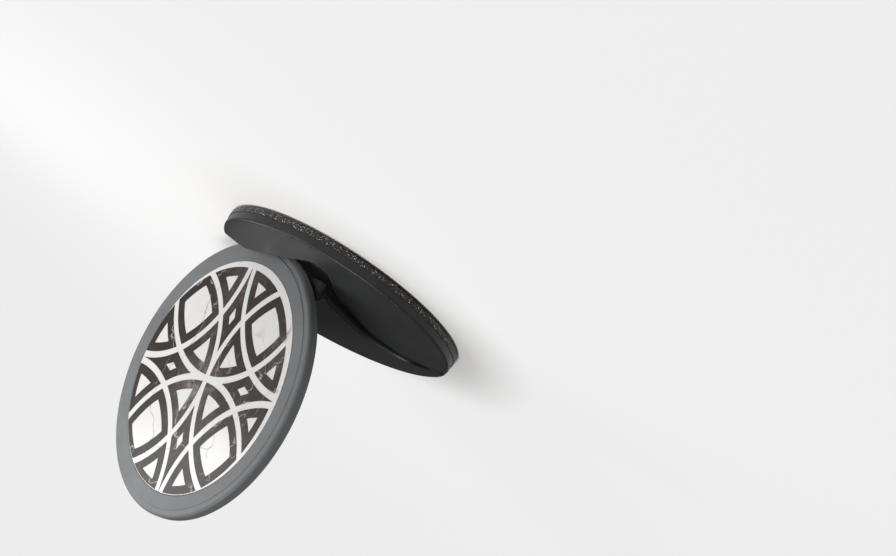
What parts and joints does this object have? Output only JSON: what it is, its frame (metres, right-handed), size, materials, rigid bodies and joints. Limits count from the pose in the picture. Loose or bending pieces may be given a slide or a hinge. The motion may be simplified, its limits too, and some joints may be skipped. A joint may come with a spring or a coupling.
{
  "type": "phone grip",
  "caption": "Round stick-on phone grip with a curved rubber strap that lifts and a printed disc that folds up as a finger hold and stand.",
  "frame": {"origin": "on the adhesive face, inside the pad, 3 mm and 8 mm from the base's centre", "axes": "+X toward the end of the base where the disc stands, -Y the side seen in the picture, +Z away from the phone"},
  "size_m": [0.0413, 0.0442, 0.0416],
  "materials": {
    "gel_adhesive": "tacky gel, faintly sparkling at its cut edge",
    "charcoal_rubber": "matt moulded rubber",
    "grey_rubber": "satin soft-touch rim",
    "bonding_film": "clear double-sided film",
    "white_plastic": "white marble print under a clear coat",
    "brown_ink": "dark brown marbled print"
  },
  "bodies": {
    "base": {"adhesive_pad": "gel_adhesive", "base_plate": "charcoal_rubber"},
    "strap": {"strap": "charcoal_rubber"},
    "disc": {"disc_shell": "grey_rubber", "inlay_film": "bonding_film", "inlay_plate": "white_plastic", "printed_pattern": "brown_ink"}
  },
  "joints": [
    {"name": "strap_hinge", "type": "hinge", "parent": "base", "child": "strap", "pos_m": [-0.0152, 0.008, 0.0015], "axis": [0, -1, 0], "range_deg": [-4.5, 60]},
    {"name": "disc_hinge", "type": "hinge", "parent": "strap", "child": "disc", "pos_m": [0.01314, 0.01447, 0.00303], "axis": [0.5661, 0.8231, 0.0446], "range_deg": [-80.2, 9.8]}
  ]
}
